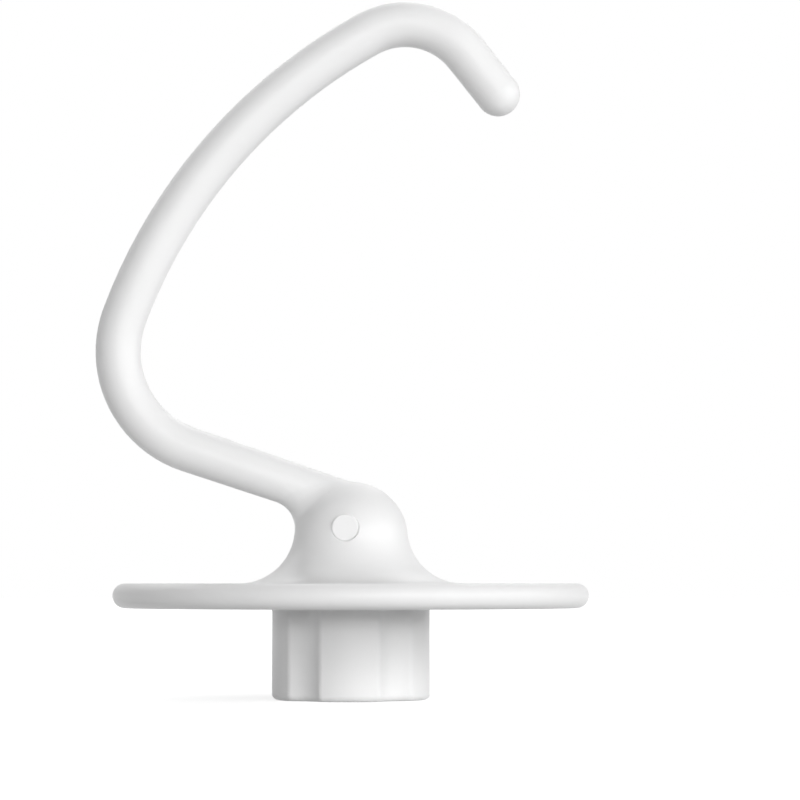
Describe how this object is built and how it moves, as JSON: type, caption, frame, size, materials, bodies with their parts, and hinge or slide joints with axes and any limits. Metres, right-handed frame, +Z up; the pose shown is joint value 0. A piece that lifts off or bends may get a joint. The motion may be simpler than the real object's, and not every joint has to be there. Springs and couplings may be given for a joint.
{
  "type": "stand mixer dough hook",
  "caption": "C-shaped kneading hook with a splash disc and a fluted drive collar, cast in one piece and coated white; it locks onto a stand mixer's beater shaft.",
  "frame": {"origin": "centre of the drive collar's end face, on the axis of the shaft socket; the part stands on this face with its hook up", "axes": "+Z up along the socket axis, away from the mixer's shaft; the hook's arm lies in the XZ plane and swings out to -X; the round pad and the socket's pin channel face -Y"},
  "size_m": [0.0982, 0.0944, 0.1396],
  "materials": {
    "white_coating": "gloss"
  },
  "bodies": {
    "root": {"dough_hook": "white_coating"}
  },
  "joints": []
}
